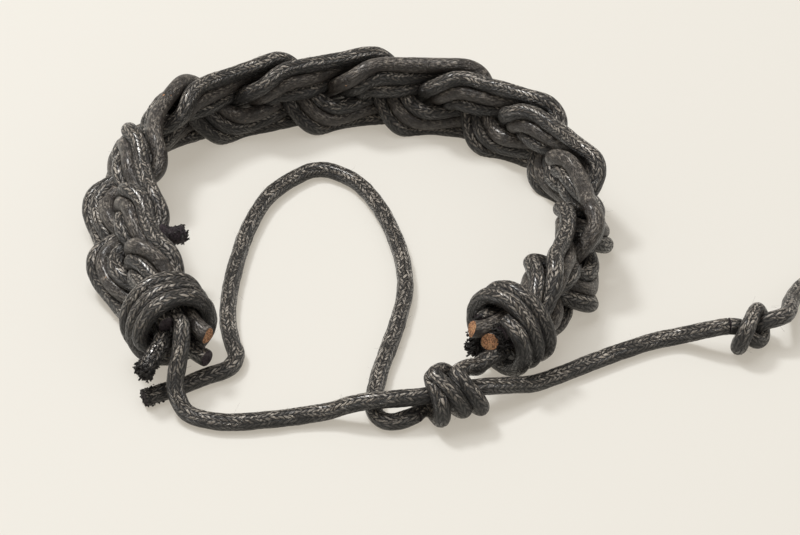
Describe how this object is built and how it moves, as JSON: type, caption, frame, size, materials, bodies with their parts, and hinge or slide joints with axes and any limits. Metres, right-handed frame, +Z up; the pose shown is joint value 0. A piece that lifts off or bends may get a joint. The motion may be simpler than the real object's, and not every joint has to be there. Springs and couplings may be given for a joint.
{
  "type": "braided bracelet",
  "caption": "Braided cord bracelet: a flat plait of waxed cords and leather laces bent to an open ring on its edge, bound at both ends and closed by tie cords through a sliding knot.",
  "frame": {"origin": "The middle of the box round the plait and its bindings, without the free cords, on the surface that the bracelet stands on.", "axes": "+Z points up along the wrist's axis. The gap between the bindings faces -Y. +X points to the side with the long tail."},
  "size_m": [0.0921, 0.0648, 0.0105],
  "materials": {
    "waxed_cord": "waxed",
    "leather_lace": "satin"
  },
  "bodies": {
    "root": {"strand_1_cord_a": "waxed_cord", "strand_1_lace": "leather_lace", "strand_1_cord_b": "waxed_cord", "strand_2_cord_a": "waxed_cord", "strand_2_lace": "leather_lace", "strand_2_cord_b": "waxed_cord", "strand_3_cord_a": "waxed_cord", "strand_3_lace": "leather_lace", "strand_3_cord_b": "waxed_cord", "left_binding": "waxed_cord", "right_binding": "waxed_cord", "inner_stub": "waxed_cord", "left_tie": "waxed_cord", "right_tie": "waxed_cord", "sliding_knot": "waxed_cord", "loop_tie": "waxed_cord", "stopper_knot": "waxed_cord", "tail_end": "waxed_cord"}
  },
  "joints": []
}
